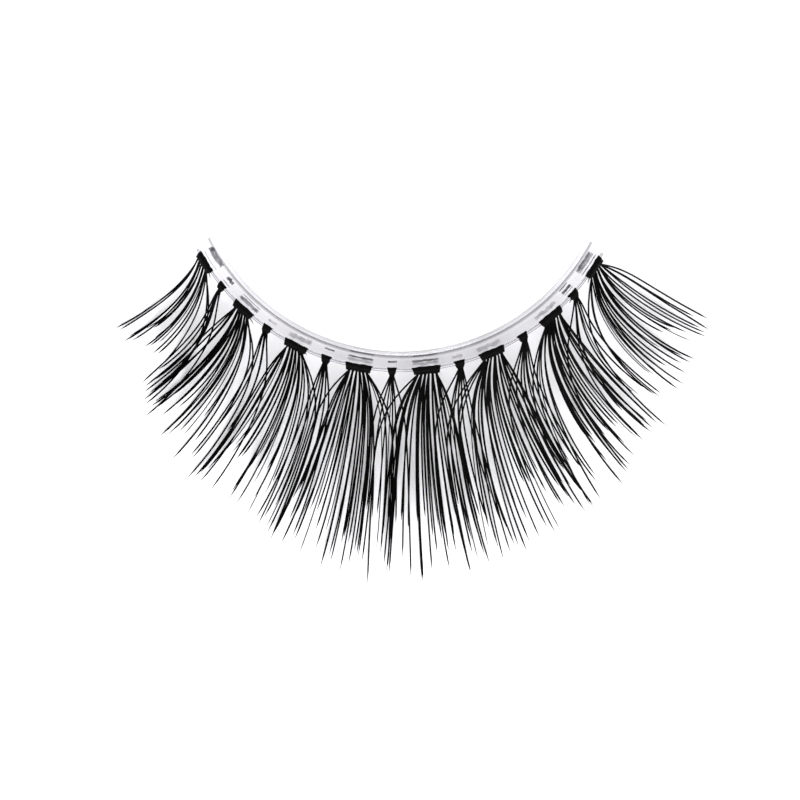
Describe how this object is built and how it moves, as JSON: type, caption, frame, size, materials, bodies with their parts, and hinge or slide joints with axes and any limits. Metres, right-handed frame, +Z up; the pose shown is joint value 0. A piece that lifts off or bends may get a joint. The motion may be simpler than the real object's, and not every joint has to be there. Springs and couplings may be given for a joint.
{
  "type": "false eyelash strip",
  "caption": "Curved strip of black false lashes: wide and narrow fanned tufts of tapered fibre on a narrow clear band.",
  "frame": {"origin": "centre of the strip's bounding box, on the surface it lies on", "axes": "+X along the strip from tuft to tuft, +Y from the lash tips towards the open side of the arc, +Z up"},
  "size_m": [0.0386, 0.0222, 0.005],
  "materials": {
    "clear_plastic": "clear flexible plastic with a faint lavender grey tint, glossy",
    "clear_thread": "clear drawn filament, glossy",
    "black_fibre": "black drawn polyester fibre with a soft satin sheen"
  },
  "bodies": {
    "root": {"clear_band": "clear_plastic", "band_thread": "clear_thread", "tuft_wide_1": "black_fibre", "tuft_wide_2": "black_fibre", "tuft_wide_3": "black_fibre", "tuft_wide_4": "black_fibre", "tuft_wide_5": "black_fibre", "tuft_wide_6": "black_fibre", "tuft_wide_7": "black_fibre", "tuft_wide_8": "black_fibre", "tuft_narrow_1": "black_fibre", "tuft_narrow_2": "black_fibre", "tuft_narrow_3": "black_fibre", "tuft_narrow_4": "black_fibre", "tuft_narrow_5": "black_fibre", "tuft_narrow_6": "black_fibre", "tuft_narrow_7": "black_fibre"}
  },
  "joints": []
}
